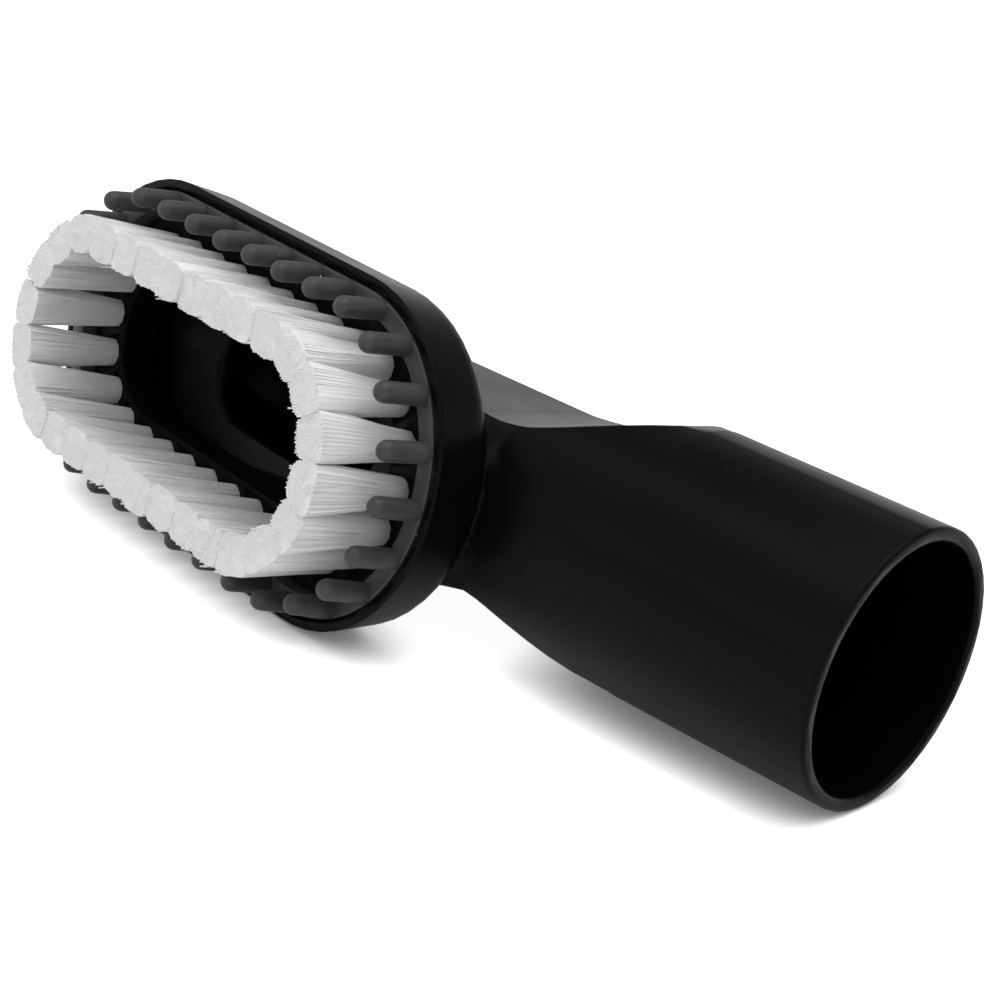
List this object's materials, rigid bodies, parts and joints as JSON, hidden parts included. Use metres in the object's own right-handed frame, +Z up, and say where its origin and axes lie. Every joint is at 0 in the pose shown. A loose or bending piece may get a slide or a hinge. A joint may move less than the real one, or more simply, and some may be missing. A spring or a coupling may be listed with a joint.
{
  "type": "vacuum dusting brush",
  "caption": "Dusting brush for a vacuum cleaner: oblong head with a bristle ring and rubber fingers, a scooped neck, and a slanted round socket for the wand.",
  "frame": {"origin": "middle of the bounding box in X and Y, on the surface that the brush lies on", "axes": "+X runs along the head towards the socket's mouth, the bristles point to -Y, and +Z is up as the brush lies on its side"},
  "size_m": [0.1506, 0.0736, 0.0498],
  "materials": {
    "black_plastic": "satin, fine grain",
    "grey_rubber": "matt, moulded",
    "plate_plastic": "matt",
    "white_nylon": "straight cut bristles"
  },
  "bodies": {
    "root": {"head_and_socket": "black_plastic", "rubber_finger_strip": "grey_rubber", "tuft_plate": "plate_plastic", "tuft_01": "white_nylon", "tuft_02": "white_nylon", "tuft_03": "white_nylon", "tuft_04": "white_nylon", "tuft_05": "white_nylon", "tuft_06": "white_nylon", "tuft_07": "white_nylon", "tuft_08": "white_nylon", "tuft_09": "white_nylon", "tuft_10": "white_nylon", "tuft_11": "white_nylon", "tuft_12": "white_nylon", "tuft_13": "white_nylon", "tuft_14": "white_nylon", "tuft_15": "white_nylon", "tuft_16": "white_nylon", "tuft_17": "white_nylon", "tuft_18": "white_nylon", "tuft_19": "white_nylon", "tuft_20": "white_nylon", "tuft_21": "white_nylon", "tuft_22": "white_nylon", "tuft_23": "white_nylon", "tuft_24": "white_nylon", "tuft_25": "white_nylon", "tuft_26": "white_nylon", "tuft_27": "white_nylon", "tuft_28": "white_nylon", "tuft_29": "white_nylon", "tuft_30": "white_nylon"}
  },
  "joints": []
}
